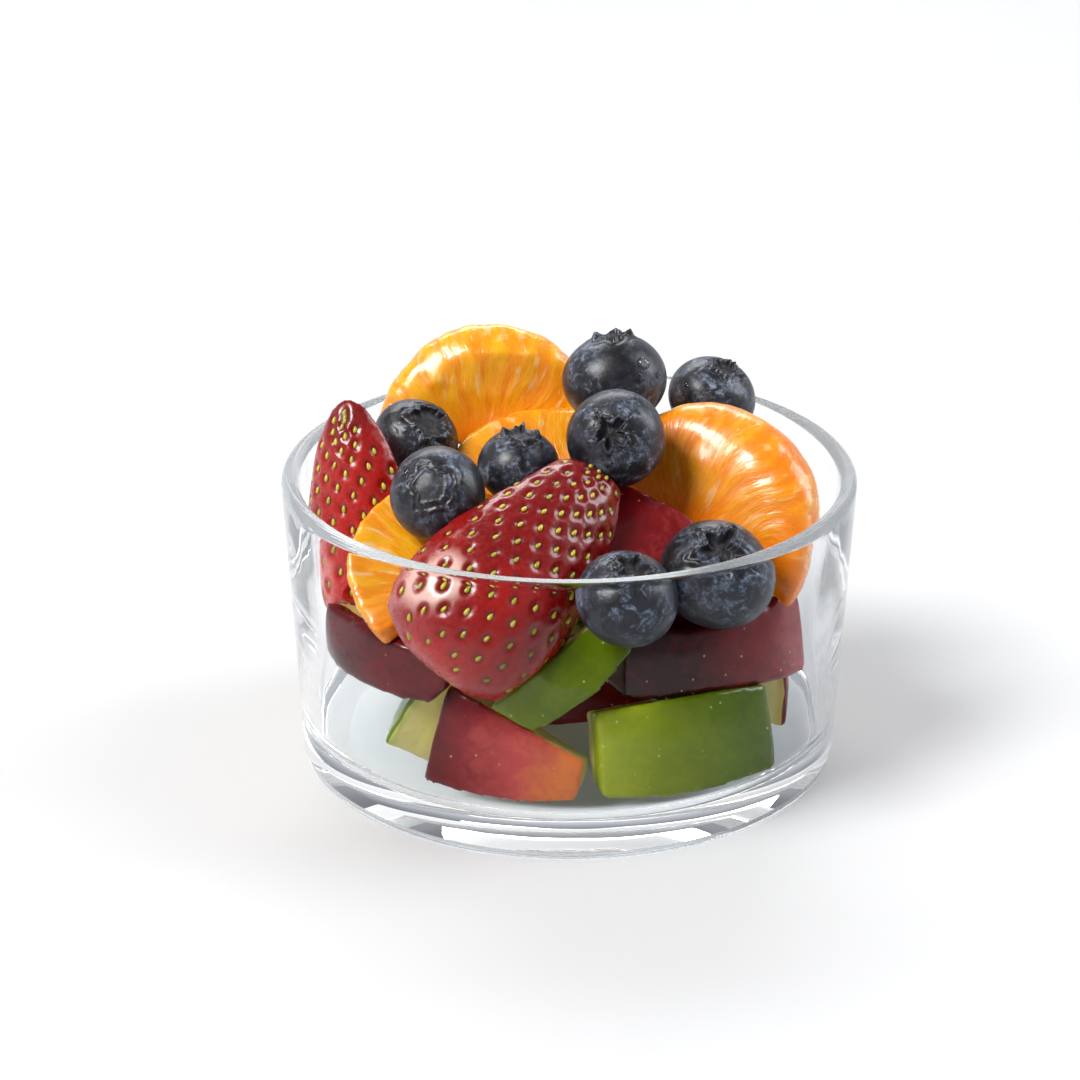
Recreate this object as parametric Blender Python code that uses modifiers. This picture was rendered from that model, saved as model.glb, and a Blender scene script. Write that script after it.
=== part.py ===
"""A clear glass cup heaped with mandarin segments, strawberry halves, blueberries and apple chunks.

Every piece of fruit is its own solid. Lengths are in millimetres and become metres as each mesh is made.
The cup stands on z = 0 with its axis on Z, and the shown side of the heap looks towards -Y.
"""

import itertools
import math

import bmesh
import bpy
import numpy as np
from mathutils import Matrix, Vector

MM = 0.001
GAP = 0.3  # left between pieces that press on each other

# Cup
RIM_RADIUS = 46.0
CUP_HEIGHT = 48.6
FOOT_RADIUS = 43.4
WALL = 2.8
FLOOR = 6.3  # height of the inner floor
FLOOR_FILLET = 3.5
FOOT_ROUND = 2.0
FOOT_RING = 5.0  # width of the flat ring that it stands on
PUNT = 0.9  # how far the middle of the underside is raised
CUP_STEPS = 64

# Fruit
BERRY_STEPS = 14
BERRY_HEIGHT = 0.88  # share of a blueberry's width
CROWN_WIDTH = 0.34  # of the berry's width, across the calyx
CROWN_DEPTH = 0.10
APPLE_RADIUS = 37.0
APPLE_WEDGE = 36.0  # degrees between the two sides that run to the core
STRAWBERRY_RINGS = 12
SEGMENT_RINGS = 12
PRESS_DIRECTIONS = 1500
NEAR = 40.0  # pieces whose middles are further apart never touch

# Each place is the middle of the piece. "faces" is the way its shown side looks, and "along" the way its
# long side runs. A blueberry faces with its crown, an apple chunk or a strawberry with its skin, and a
# mandarin segment with a flat side. A strawberry runs towards its tip, and a segment's round back lies to
# the left of "along" as the flat side is looked at.
BLUEBERRIES = {
    "blueberry_top": dict(width=17.0, at=(7.4, 9.5, 59.8), faces=(-0.1, 0.2, 1.0)),
    "blueberry_back_right": dict(width=14.5, at=(23.7, 22.0, 52.1), faces=(0.35, -0.2, 0.9)),
    "blueberry_middle": dict(width=15.8, at=(7.3, -6.5, 56.2), faces=(-0.15, -0.85, 0.5)),
    "blueberry_back_left": dict(width=14.4, at=(-24.8, 8.0, 50.0), faces=(0.35, -0.5, 0.8)),
    "blueberry_left": dict(width=15.2, at=(-20.6, -15.0, 50.2), faces=(-0.17, -0.83, 0.55)),
    "blueberry_small": dict(width=13.2, at=(-8.1, -5.0, 50.8), faces=(0.05, -0.1, 1.0)),
    "blueberry_front": dict(width=15.5, at=(8.4, -33.0, 40.3), faces=(0.15, -0.35, 0.9)),
    "blueberry_right": dict(width=17.8, at=(22.4, -24.0, 40.5), faces=(0.15, -0.55, 0.8)),
    "blueberry_rear": dict(width=15.0, at=(2.0, 35.0, 45.0), faces=(0.1, 0.6, 0.8)),
    "blueberry_rear_left": dict(width=14.0, at=(-30.0, 19.0, 39.5), faces=(-0.5, 0.6, 0.5)),
    "blueberry_rear_right": dict(width=15.0, at=(28.5, 19.5, 38.0), faces=(0.6, 0.6, 0.4)),
}

SEGMENTS = {
    "mandarin_back": dict(
        size=(38.0, 23.0, 12.0), at=(-12.5, 22.5, 51.2),
        faces=(-0.05, -0.9, 0.42), along=(1.0, 0.0, -0.1)),
    "mandarin_right": dict(
        size=(40.0, 22.5, 13.0), at=(24.8, -3.0, 46.3),
        faces=(-0.35, -0.75, 0.56), along=(0.76, -0.52, -0.36)),
    "mandarin_left": dict(
        size=(31.5, 18.5, 10.5), at=(-22.8, -14.4, 41.6),
        faces=(0.1, -0.75, 0.65), along=(0.72, 0.55, 0.5)),
    "mandarin_rear": dict(
        size=(36.0, 21.0, 12.0), at=(17.0, 31.0, 26.0),
        faces=(0.45, 0.85, 0.1), along=(0.85, -0.45, 0.25)),
    "mandarin_under": dict(
        size=(40.0, 19.0, 11.0), at=(-1.2, 10.3, 46.2),
        faces=(0.0, -0.3, 1.0), along=(1.0, 0.1, 0.0)),
}

STRAWBERRIES = {
    "strawberry_front": dict(
        size=(43.0, 33.0, 14.0), at=(-6.5, -25.5, 44.0),
        faces=(0.19, -0.8, 0.58), along=(0.62, 0.55, 0.55)),
    "strawberry_left": dict(
        size=(38.5, 26.0, 12.0), at=(-34.5, -4.9, 42.0),
        faces=(-0.42, -0.9, 0.1), along=(-0.14, 0.1, 1.0)),
    "strawberry_rear": dict(
        size=(36.0, 27.0, 13.0), at=(-16.0, 29.0, 30.0),
        faces=(-0.45, 0.85, 0.2), along=(0.5, 0.1, 0.8)),
}

APPLES = {
    "apple_red_left": dict(
        size=(26.0, 11.8, 12.0), at=(-26.6, -18.9, 24.7),
        faces=(-0.65, -0.72, 0.0), along=(0.75, -0.6, -0.05)),
    "apple_green_left": dict(
        size=(15.0, 12.2, 11.0), at=(-20.2, -19.0, 15.6),
        faces=(-0.75, 0.1, 0.5), along=(0.35, -0.1, 0.9)),
    "apple_red_front": dict(
        size=(23.3, 16.8, 8.5), at=(-8.8, -29.3, 14.2),
        faces=(-0.2, -0.97, 0.1), along=(0.95, -0.15, -0.22), taper=20.0),
    "apple_green_front": dict(
        size=(27.0, 13.0, 11.0), at=(1.0, -29.0, 26.5),
        faces=(0.0, -1.0, 0.1), along=(0.8, 0.1, 0.6)),
    "apple_green_right": dict(
        size=(27.5, 17.0, 8.5), at=(17.3, -28.0, 15.0),
        faces=(0.3, -0.94, 0.14), along=(0.94, 0.3, 0.05)),
    "apple_red_right": dict(
        size=(33.0, 15.5, 14.0), at=(21.2, -19.0, 26.6),
        faces=(0.5, -0.83, 0.25), along=(0.84, 0.5, -0.08)),
    "apple_red_middle": dict(
        size=(23.0, 18.0, 13.0), at=(11.0, -12.5, 39.0),
        faces=(0.1, -0.68, 0.72), along=(0.7, -0.3, -0.4)),
    "apple_red_right_low": dict(
        size=(17.0, 13.0, 13.0), at=(29.5, -3.0, 14.2),
        faces=(1.0, 0.0, 0.0), along=(0.0, 1.0, 0.0)),
    "apple_red_middle_low": dict(
        size=(20.0, 14.0, 12.0), at=(2.5, -9.0, 14.0),
        faces=(0.1, -0.8, 0.6), along=(1.0, 0.0, 0.1)),
    "apple_green_rear": dict(
        size=(25.0, 16.0, 12.0), at=(-4.0, 31.0, 14.5),
        faces=(-0.1, 1.0, 0.1), along=(1.0, 0.1, 0.0)),
    "apple_red_rear_left": dict(
        size=(20.0, 15.0, 13.0), at=(-23.5, 17.0, 14.5),
        faces=(-0.8, 0.6, 0.1), along=(0.6, 0.8, 0.1)),
    "apple_green_rear_right": dict(
        size=(22.0, 14.0, 13.0), at=(24.5, 17.0, 14.0),
        faces=(0.75, 0.65, 0.1), along=(-0.65, 0.75, 0.0)),
    "apple_green_low": dict(
        size=(22.0, 16.0, 12.0), at=(-7.0, 8.0, 14.8),
        faces=(0.2, 0.1, 1.0), along=(1.0, 0.2, 0.0)),
    "apple_red_core": dict(
        size=(24.0, 17.0, 13.0), at=(-1.0, 3.0, 28.5),
        faces=(0.2, 0.2, 1.0), along=(0.9, -0.4, 0.0)),
    "apple_green_side": dict(
        size=(24.0, 15.0, 13.0), at=(-28.5, 6.0, 27.5),
        faces=(-0.95, 0.25, 0.1), along=(0.25, 0.95, 0.1)),
    "apple_red_side": dict(
        size=(24.0, 15.0, 13.0), at=(29.5, 5.0, 29.0),
        faces=(0.95, 0.15, 0.1), along=(-0.15, 0.95, 0.1)),
    "apple_red_rear": dict(
        size=(22.0, 15.0, 12.0), at=(12.0, 30.0, 40.5),
        faces=(0.2, 0.9, 0.4), along=(0.9, -0.1, 0.0)),
    "apple_green_high": dict(
        size=(22.0, 16.0, 10.0), at=(-10.0, 5.0, 40.0),
        faces=(0.1, -0.3, 1.0), along=(0.9, 0.3, 0.0)),
    "apple_green_core": dict(
        size=(20.0, 16.0, 13.0), at=(15.0, 7.0, 31.0),
        faces=(0.2, 0.1, 1.0), along=(0.5, 0.9, 0.0)),
    "apple_red_back": dict(
        size=(22.0, 14.0, 14.0), at=(-1.0, 20.0, 28.0),
        faces=(0.0, 0.4, 1.0), along=(1.0, 0.0, 0.1)),
    "apple_red_deep": dict(
        size=(20.0, 15.0, 12.0), at=(-13.0, -9.0, 29.0),
        faces=(-0.1, -0.3, 1.0), along=(0.8, 0.3, 0.0)),
    "apple_red_low": dict(
        size=(17.0, 15.0, 12.0), at=(12.5, 7.0, 14.0),
        faces=(0.1, 0.1, 1.0), along=(0.7, 0.7, 0.0)),
}


def clear_scene():
    for obj in list(bpy.data.objects):
        bpy.data.objects.remove(obj)


def make_material(name, colour, roughness, transmission=0.0):
    material = bpy.data.materials.new(name)
    material.use_nodes = True
    shader = material.node_tree.nodes["Principled BSDF"]
    shader.inputs["Base Color"].default_value = (*colour, 1.0)
    shader.inputs["Roughness"].default_value = roughness
    shader.inputs["Metallic"].default_value = 0.0
    shader.inputs["Transmission Weight"].default_value = transmission
    return material


def add_object(name, bm, material, collection):
    """Turns a bmesh in millimetres into a named object in metres."""
    bmesh.ops.scale(bm, vec=(MM, MM, MM), verts=bm.verts)
    mesh = bpy.data.meshes.new(name)
    bm.to_mesh(mesh)
    bm.free()
    mesh.materials.append(material)
    mesh.shade_smooth()
    mesh.set_sharp_from_angle(angle=math.radians(35))
    obj = bpy.data.objects.new(name, mesh)
    collection.objects.link(obj)
    return obj


def lay(obj, at, faces, along=(1.0, 0.0, 0.0)):
    """Puts a piece's middle at a point, with local Z the way it faces and local X the way it runs."""
    z_axis = Vector(faces).normalized()
    x_axis = Vector(along)
    x_axis = (x_axis - x_axis.dot(z_axis) * z_axis).normalized()
    y_axis = z_axis.cross(x_axis)
    obj.rotation_mode = "QUATERNION"
    obj.rotation_quaternion = Matrix((x_axis, y_axis, z_axis)).transposed().to_quaternion()
    obj.location = Vector(at) * MM


def arc(centre_x, centre_z, radius, start, end, count):
    """Points on an arc in the XZ plane, with angles in degrees from +X towards +Z."""
    points = []
    for i in range(count + 1):
        angle = math.radians(start + (end - start) * i / count)
        points.append((centre_x + radius * math.cos(angle), centre_z + radius * math.sin(angle)))
    return points


def add_turned(name, profile, steps, material, collection):
    """A solid turned about Z from a profile that starts and ends on the axis and runs down its outer side."""
    mesh = bpy.data.meshes.new(name)
    points = [(x * MM, 0.0, z * MM) for x, z in profile]
    mesh.from_pydata(points, [(i, i + 1) for i in range(len(points) - 1)], [])
    mesh.materials.append(material)
    obj = bpy.data.objects.new(name, mesh)
    collection.objects.link(obj)
    screw = obj.modifiers.new("Turn", "SCREW")
    screw.axis = "Z"
    screw.steps = steps
    screw.render_steps = steps
    screw.use_merge_vertices = True
    screw.merge_threshold = 0.00005
    screw.use_smooth_shade = True
    return obj


def cup_profile():
    """From the inner floor up the inner wall, over the rim and down the outer wall to the underside."""
    lip = WALL / 2
    slope = (RIM_RADIUS - FOOT_RADIUS) / (CUP_HEIGHT - lip - FOOT_ROUND)
    fillet_radius = FOOT_RADIUS - WALL + slope * (FLOOR + FLOOR_FILLET - FOOT_ROUND)
    ring_outer = FOOT_RADIUS - FOOT_ROUND
    ring_inner = ring_outer - FOOT_RING
    profile = [(0.0, FLOOR)]
    profile += arc(fillet_radius - FLOOR_FILLET, FLOOR + FLOOR_FILLET, FLOOR_FILLET, -90, 0, 4)
    profile += arc(RIM_RADIUS - lip, CUP_HEIGHT - lip, lip, 180, 0, 6)
    profile += arc(ring_outer, FOOT_ROUND, FOOT_ROUND, 0, -90, 3)
    profile += [(ring_inner, 0.0), (ring_inner - 4 * PUNT, PUNT), (0.0, PUNT)]
    return profile


def berry_profile(width):
    """A blueberry's half outline: the dished calyx, its raised ring, and the squat round body below."""
    radius = width / 2
    half_height = radius * BERRY_HEIGHT
    crown = radius * CROWN_WIDTH
    crown_angle = math.degrees(math.asin(CROWN_WIDTH))
    dish = half_height * (1 - 2 * CROWN_DEPTH)
    profile = [(0.0, dish), (crown * 0.75, dish), (crown, half_height)]
    for i in range(7):
        angle = math.radians(crown_angle + 8 + (172 - crown_angle) * i / 6)
        profile.append((radius * math.sin(angle), half_height * math.cos(angle)))
    profile[-1] = (0.0, -half_height)
    return profile


def sphere_along_x(rings, sides):
    """A unit sphere with its poles on X."""
    bm = bmesh.new()
    bmesh.ops.create_uvsphere(bm, u_segments=sides, v_segments=rings, radius=1.0)
    bmesh.ops.rotate(bm, cent=(0, 0, 0), matrix=Matrix.Rotation(math.radians(90), 3, "Y"), verts=bm.verts)
    return bm


def cut(bm, point, normal, dist=1e-4):
    """Cuts away what lies on the normal's side of a plane and closes the cut."""
    geometry = bm.verts[:] + bm.edges[:] + bm.faces[:]
    made = bmesh.ops.bisect_plane(
        bm, geom=geometry, dist=dist, plane_co=point, plane_no=normal, clear_outer=True)
    edges = [e for e in made["geom_cut"] if isinstance(e, bmesh.types.BMEdge)]
    bmesh.ops.edgeloop_fill(bm, edges=edges)


def strawberry_half(size):
    """Half a hulled strawberry: a blunt cone with its tip at +X, cut lengthwise at its flat side."""
    length, width, thickness = size
    bm = sphere_along_x(STRAWBERRY_RINGS, 20)
    for v in bm.verts:
        t = (v.co.x + 1) / 2
        ring = math.hypot(v.co.y, v.co.z)
        taper = (1 - 0.62 * t**1.3) * max(0.0, 1 - t**8) ** 0.5 * max(0.0, 1 - (1 - t) ** 6) ** 0.4
        y, z = (v.co.y / ring, v.co.z / ring) if ring > 1e-6 else (0.0, 0.0)
        v.co = Vector((length * (t - 0.5), width / 2 * taper * y, thickness * (taper * z - 0.4)))
    cut(bm, (0, 0, -0.4 * thickness), (0, 0, -1))
    return bm


def mandarin_segment(size):
    """A crescent wedge: poles on X, the thin inner edge at -Y and the round back at +Y."""
    length, height, thickness = size
    bm = sphere_along_x(SEGMENT_RINGS, 14)
    for v in bm.verts:
        x = v.co.x
        ring = math.hypot(v.co.y, v.co.z)
        y, z = (v.co.y / ring, v.co.z / ring) if ring > 1e-6 else (0.0, 0.0)
        rise = (1 + y) / 2
        back = height * max(0.0, 1 - abs(x) ** 2.3) ** 0.5
        wedge = (0.5 + 0.65 * rise) * max(0.0, 1 - x * x) ** 0.4
        v.co = Vector((length / 2 * x, back * rise - 0.45 * height, thickness / 2 * wedge * z))
    return bm


def apple_chunk(size, wedge=APPLE_WEDGE, taper=0.0):
    """A ball cut across at both ends, along both sides towards the core, and off at the core."""
    length, width, depth = size
    bm = sphere_along_x(20, 28)
    bmesh.ops.scale(bm, vec=(APPLE_RADIUS,) * 3, verts=bm.verts)
    middle = depth / 2
    bmesh.ops.translate(bm, vec=(0, 0, middle - APPLE_RADIUS), verts=bm.verts)
    for side in (-1, 1):
        cut(bm, (side * length / 2, 0, 0), (side, 0, 0))
        lean = math.radians(wedge / 2)
        swing = math.radians(taper / 2)
        normal = Vector((math.sin(swing), side * math.cos(swing) * math.cos(lean), -math.sin(lean)))
        cut(bm, (0, side * width / 2, middle), normal)
    cut(bm, (0, 0, -middle), (0, 0, -1))
    return bm


def world_points(obj):
    """The evaluated vertices of an object in world millimetres."""
    evaluated = obj.evaluated_get(bpy.context.evaluated_depsgraph_get())
    mesh = evaluated.to_mesh()
    points = np.array([evaluated.matrix_world @ v.co for v in mesh.vertices]) / MM
    evaluated.to_mesh_clear()
    return points


def trim(obj, point, normal):
    """Slices off what lies beyond a world plane, given in millimetres."""
    to_local = obj.matrix_world.inverted()
    bm = bmesh.new()
    bm.from_mesh(obj.data)
    cut(bm, to_local @ (Vector(point) * MM), (to_local.to_3x3() @ Vector(normal)).normalized(), dist=1e-7)
    bm.to_mesh(obj.data)
    bm.free()


def sphere_directions(count):
    """Unit vectors spread evenly over a sphere on a golden spiral."""
    index = np.arange(count) + 0.5
    height = 1 - 2 * index / count
    turn = index * math.pi * (3 - math.sqrt(5))
    ring = np.sqrt(1 - height**2)
    return np.stack([ring * np.cos(turn), ring * np.sin(turn), height], axis=1)


def press(first, second, directions):
    """Flattens two touching pieces on the plane that cuts least off them. A blueberry stays whole."""
    ahead = (world_points(first) @ directions.T).max(axis=0)
    behind = (world_points(second) @ directions.T).min(axis=0)
    best = int((ahead - behind).argmin())
    if ahead[best] - behind[best] < -GAP:
        return
    normal = directions[best]
    middle = (ahead[best] + behind[best]) / 2
    near, far = middle - GAP / 2, middle + GAP / 2
    if first.name in BLUEBERRIES:
        near, far = ahead[best], ahead[best] + GAP
    if second.name in BLUEBERRIES:
        near, far = behind[best] - GAP, behind[best]
    if first.name not in BLUEBERRIES:
        trim(first, normal * near, normal)
    if second.name not in BLUEBERRIES:
        trim(second, normal * far, -normal)
    bpy.context.view_layer.update()


def build():
    clear_scene()
    collection = bpy.data.collections.new("fruit_cup")
    bpy.context.scene.collection.children.link(collection)
    glass = make_material("glass", (0.95, 0.98, 1.0), 0.02, transmission=1.0)
    blueberry = make_material("blueberry", (0.05, 0.06, 0.12), 0.55)
    mandarin = make_material("mandarin", (0.95, 0.42, 0.04), 0.35)
    strawberry = make_material("strawberry", (0.60, 0.03, 0.03), 0.3)
    apple_red = make_material("apple_red", (0.30, 0.02, 0.03), 0.3)
    apple_green = make_material("apple_green", (0.33, 0.45, 0.06), 0.3)

    add_turned("cup", cup_profile(), CUP_STEPS, glass, collection)
    for name, berry in BLUEBERRIES.items():
        obj = add_turned(name, berry_profile(berry["width"]), BERRY_STEPS, blueberry, collection)
        lay(obj, berry["at"], berry["faces"])
    for name, piece in SEGMENTS.items():
        obj = add_object(name, mandarin_segment(piece["size"]), mandarin, collection)
        lay(obj, piece["at"], piece["faces"], piece["along"])
    for name, piece in STRAWBERRIES.items():
        obj = add_object(name, strawberry_half(piece["size"]), strawberry, collection)
        lay(obj, piece["at"], piece["faces"], piece["along"])
    for name, piece in APPLES.items():
        chunk = apple_chunk(piece["size"], piece.get("wedge", APPLE_WEDGE), piece.get("taper", 0.0))
        obj = add_object(name, chunk, apple_green if "green" in name else apple_red, collection)
        lay(obj, piece["at"], piece["faces"], piece["along"])

    bpy.context.view_layer.update()
    directions = sphere_directions(PRESS_DIRECTIONS)
    fruit = [obj for obj in collection.objects if obj.name != "cup"]
    for first, second in itertools.combinations(fruit, 2):
        reach = (Vector(first.location) - Vector(second.location)).length
        if reach < NEAR * MM:
            press(first, second, directions)


build()
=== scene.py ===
import math

import bmesh
import bpy
import numpy as np
from mathutils import Matrix, Vector, noise
from mathutils.bvhtree import BVHTree
from mathutils.kdtree import KDTree


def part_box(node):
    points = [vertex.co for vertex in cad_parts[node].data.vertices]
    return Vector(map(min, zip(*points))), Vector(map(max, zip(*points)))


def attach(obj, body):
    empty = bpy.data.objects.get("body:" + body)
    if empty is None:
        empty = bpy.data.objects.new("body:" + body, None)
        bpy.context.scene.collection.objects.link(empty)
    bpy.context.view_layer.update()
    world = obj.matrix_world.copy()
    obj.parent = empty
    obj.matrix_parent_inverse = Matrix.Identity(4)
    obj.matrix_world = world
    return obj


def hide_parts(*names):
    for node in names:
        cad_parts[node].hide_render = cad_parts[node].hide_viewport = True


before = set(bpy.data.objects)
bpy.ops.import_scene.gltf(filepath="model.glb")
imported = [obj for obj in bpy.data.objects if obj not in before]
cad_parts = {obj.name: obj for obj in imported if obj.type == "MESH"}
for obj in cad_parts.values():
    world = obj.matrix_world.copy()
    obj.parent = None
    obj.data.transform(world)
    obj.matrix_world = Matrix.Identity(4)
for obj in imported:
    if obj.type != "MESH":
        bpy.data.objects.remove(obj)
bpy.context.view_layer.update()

mm = 0.001


lampShare = 0.80            # the lamps are bright, so colours as seen are darkened by this much


# colour as seen under the lamps in 0 to 255 steps, turned into the linear value that a shader takes
def rgb(red, green, blue):
    steps = [c / 255 for c in (red, green, blue)]
    linear = [c / 12.92 if c <= 0.04045 else ((c + 0.055) / 1.055) ** 2.4 for c in steps]
    return (*(c * lampShare for c in linear), 1.0)


# adds a shader node; an input given as a socket is linked, anything else is set on the node
def addNode(tree, kind, inputs=None, **settings):
    made = tree.nodes.new("ShaderNode" + kind)
    for name, value in settings.items():
        setattr(made, name, value)
    for name, value in (inputs or {}).items():
        if isinstance(value, bpy.types.NodeSocket):
            tree.links.new(value, made.inputs[name])
        else:
            made.inputs[name].default_value = value
    return made


def mixColour(tree, share, first, second, blend="MIX"):
    inputs = {0: share, 6: first, 7: second}
    return addNode(tree, "Mix", inputs, data_type="RGBA", blend_type=blend).outputs[2]


# 0 below low, 1 above high, with a soft step between
def softStep(tree, value, low, high, bottom=0.0, top=1.0):
    inputs = {"Value": value, "From Min": low, "From Max": high, "To Min": bottom, "To Max": top}
    return addNode(tree, "MapRange", inputs, interpolation_type="SMOOTHSTEP").outputs[0]


def maths(tree, operation, first, second):
    return addNode(tree, "Math", {0: first, 1: second}, operation=operation).outputs[0]


# noise whose lumps are about size millimetres across
def grain(tree, size, detail=2.0, rough=0.5, stretch=None, distortion=0.0):
    place = addNode(tree, "NewGeometry").outputs["Position"]
    if stretch:
        place = addNode(tree, "Mapping", {"Vector": place, "Scale": stretch}).outputs[0]
    inputs = {"Vector": place, "Scale": 1 / (size * mm), "Detail": detail, "Roughness": rough, "Distortion": distortion}
    return addNode(tree, "TexNoise", inputs).outputs[0]


def attribute(tree, name):
    return addNode(tree, "Attribute", attribute_name=name).outputs["Fac"]


def bumpFrom(tree, height, distance, strength=1.0, normal=None):
    inputs = {"Height": height, "Distance": distance * mm, "Strength": strength}
    if normal:
        inputs["Normal"] = normal
    return addNode(tree, "Bump", inputs).outputs[0]


def newMaterial(name):
    material = bpy.data.materials.new(name)
    material.use_nodes = True
    tree = material.node_tree
    tree.nodes.clear()
    shader = tree.nodes.new("ShaderNodeBsdfPrincipled")
    output = tree.nodes.new("ShaderNodeOutputMaterial")
    tree.links.new(shader.outputs[0], output.inputs["Surface"])
    return material, tree, shader


# sets or links the shader's own sockets
def finishShader(tree, shader, inputs):
    for name, value in inputs.items():
        if isinstance(value, bpy.types.NodeSocket):
            tree.links.new(value, shader.inputs[name])
        else:
            shader.inputs[name].default_value = value


def setAttribute(mesh, name, values):
    layer = mesh.attributes.new(name, "FLOAT", "POINT")
    layer.data.foreach_set("value", np.asarray(values, dtype=np.float32))


def coordinates(mesh):
    flat = np.empty(len(mesh.vertices) * 3, dtype=np.float32)
    mesh.vertices.foreach_get("co", flat)
    return flat.reshape(-1, 3).astype(float) / mm


def vertexNormals(mesh):
    flat = np.empty(len(mesh.vertices) * 3, dtype=np.float32)
    mesh.vertices.foreach_get("normal", flat)
    return flat.reshape(-1, 3).astype(float)


def setCoordinates(mesh, points):
    mesh.vertices.foreach_set("co", (points * mm).astype(np.float32).ravel())
    mesh.update()


def noiseAt(points, size, shift=0.0):
    scaled = points / size + shift
    return np.array([noise.noise(Vector(p)) for p in scaled])


def smooth01(values, low, high):
    t = np.clip((values - low) / (high - low), 0.0, 1.0)
    return t * t * (3 - 2 * t)


# local axes of a piece: Z the way it faces, X the way it runs
def pieceAxes(faces, along=(1.0, 0.0, 0.0)):
    zAxis = Vector(faces).normalized()
    xAxis = Vector(along)
    xAxis = (xAxis - xAxis.dot(zAxis) * zAxis).normalized()
    return Matrix((xAxis, zAxis.cross(xAxis), zAxis)).transposed()


# a fine, smooth mesh over a CAD solid, in the piece's own axes about the middle of its box
def fineCopy(node, axes, voxel, creaseAngle, rounds, grow):
    low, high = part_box(node)
    place = Matrix.Translation((low + high) / 2) @ axes.to_4x4()
    bm = bmesh.new()
    bm.from_mesh(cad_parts[node].data)
    bmesh.ops.remove_doubles(bm, verts=bm.verts, dist=0.01 * mm)
    bmesh.ops.dissolve_limit(bm, angle_limit=math.radians(0.6), verts=bm.verts, edges=bm.edges)
    triangles = [f for f in bm.faces if len(f.verts) == 3]
    bmesh.ops.join_triangles(
        bm, faces=triangles, angle_face_threshold=math.radians(30), angle_shape_threshold=math.radians(50))
    crease = bm.edges.layers.float.new("crease_edge")
    for edge in bm.edges:
        if edge.calc_face_angle(0.0) > math.radians(creaseAngle):
            edge[crease] = 1.0
    mesh = bpy.data.meshes.new(node + "_fine")
    bm.to_mesh(mesh)
    bm.free()
    mesh.transform(place.inverted())
    obj = bpy.data.objects.new(node + "_fine", mesh)
    bpy.context.scene.collection.objects.link(obj)
    rounder = obj.modifiers.new("Round", "SUBSURF")
    rounder.levels = rounder.render_levels = 3
    # rounding pulls the surface in, so the cage is pushed out until the surface meets the solid's own corners
    corners = coordinates(mesh)
    for repeat in range(3):
        rounded = bpy.data.meshes.new_from_object(obj.evaluated_get(bpy.context.evaluated_depsgraph_get()))
        reached = coordinates(rounded)[:len(corners)]
        bpy.data.meshes.remove(rounded)
        setCoordinates(mesh, coordinates(mesh) + np.clip(0.8 * (corners - reached), -0.5, 0.5))
    even = obj.modifiers.new("Even", "REMESH")
    even.mode = "VOXEL"
    even.voxel_size = voxel * mm
    soften = obj.modifiers.new("Soften", "SMOOTH")
    soften.factor = 0.5
    soften.iterations = rounds
    fine = bpy.data.meshes.new_from_object(obj.evaluated_get(bpy.context.evaluated_depsgraph_get()))
    obj.modifiers.clear()
    obj.data = fine
    bpy.data.meshes.remove(mesh)
    fine.name = node + "_fine"
    setCoordinates(fine, coordinates(fine) + grow * vertexNormals(fine))
    fine.shade_smooth()
    obj.matrix_world = place
    return obj


def dress(obj, material, slot, *nodes):
    obj.data.materials.clear()
    obj.data.materials.append(material)
    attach(obj, "root")
    if nodes:
        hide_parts(*nodes)


stage = {
    "floorSize": 6.0,          # metres
    "floorTones": ((0.58, 0.58, 0.585, 1.0), (0.55, 0.55, 0.555, 1.0)),
    "skyLow": (1.0, 1.04, 1.1, 1.0),
    "skyHigh": (0.28, 0.29, 0.31, 1.0),
    "worldStrength": 0.75,
    "target": (-4.66, 0.0, 36.0),
    "distance": 600.0,
    "elevation": 23.14,
    "lens": 124.06,
}

# place and aim in metres, size in metres, power in watts
lamps = {
    "key": dict(place=(-0.90, -0.50, 1.24), size=(0.60, 0.60), power=33.0, colour=(1.0, 0.985, 0.96)),
    "side": dict(place=(1.00, 0.20, 0.70), size=(0.50, 0.90), power=11.0, colour=(0.93, 0.96, 1.0)),
    "back": dict(place=(-0.20, 1.24, 1.00), size=(1.20, 0.44), power=12.0, colour=(1.0, 1.0, 1.0)),
}


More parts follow.
